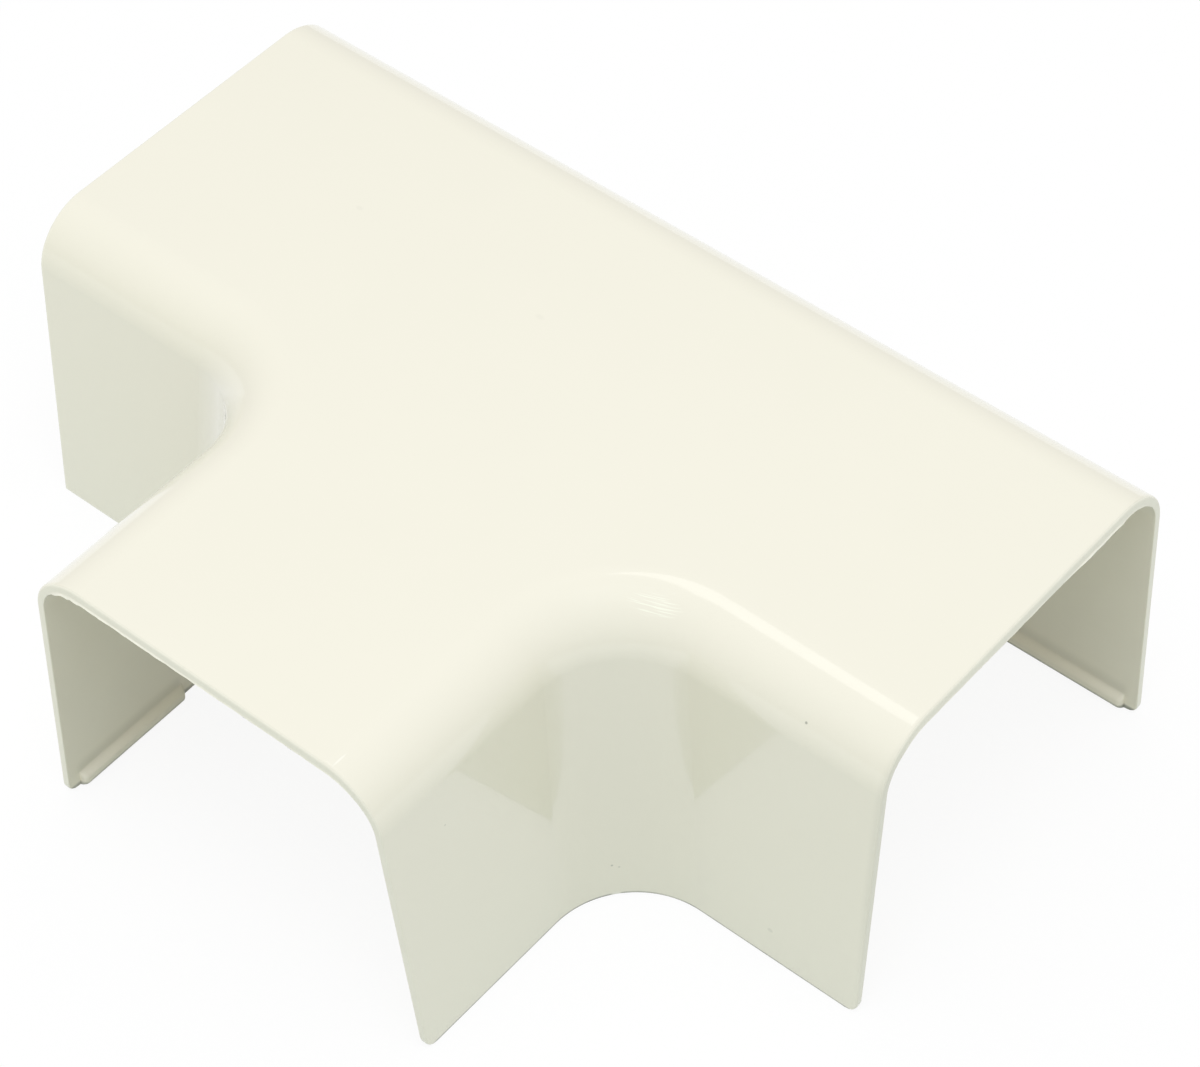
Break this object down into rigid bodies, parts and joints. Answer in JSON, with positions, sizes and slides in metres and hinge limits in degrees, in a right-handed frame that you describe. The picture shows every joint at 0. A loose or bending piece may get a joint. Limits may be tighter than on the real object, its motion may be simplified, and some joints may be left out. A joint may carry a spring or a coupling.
{
  "type": "trunking tee cover",
  "caption": "Flat tee cover that clips over square wall trunking where a branch leaves a straight run, one open-sided moulding with rounded shoulders",
  "frame": {"origin": "on the wall plane that the rim meets, where the centre lines of the run and the branch cross", "axes": "+X along the run, -Y along the branch from the run to its open end, +Z away from the wall to the top face"},
  "size_m": [0.151, 0.1069, 0.0523],
  "materials": {
    "ivory_plastic": "smooth moulded plastic in pale ivory, glossy outside and duller inside"
  },
  "bodies": {
    "root": {"tee_cover": "ivory_plastic"}
  },
  "joints": []
}
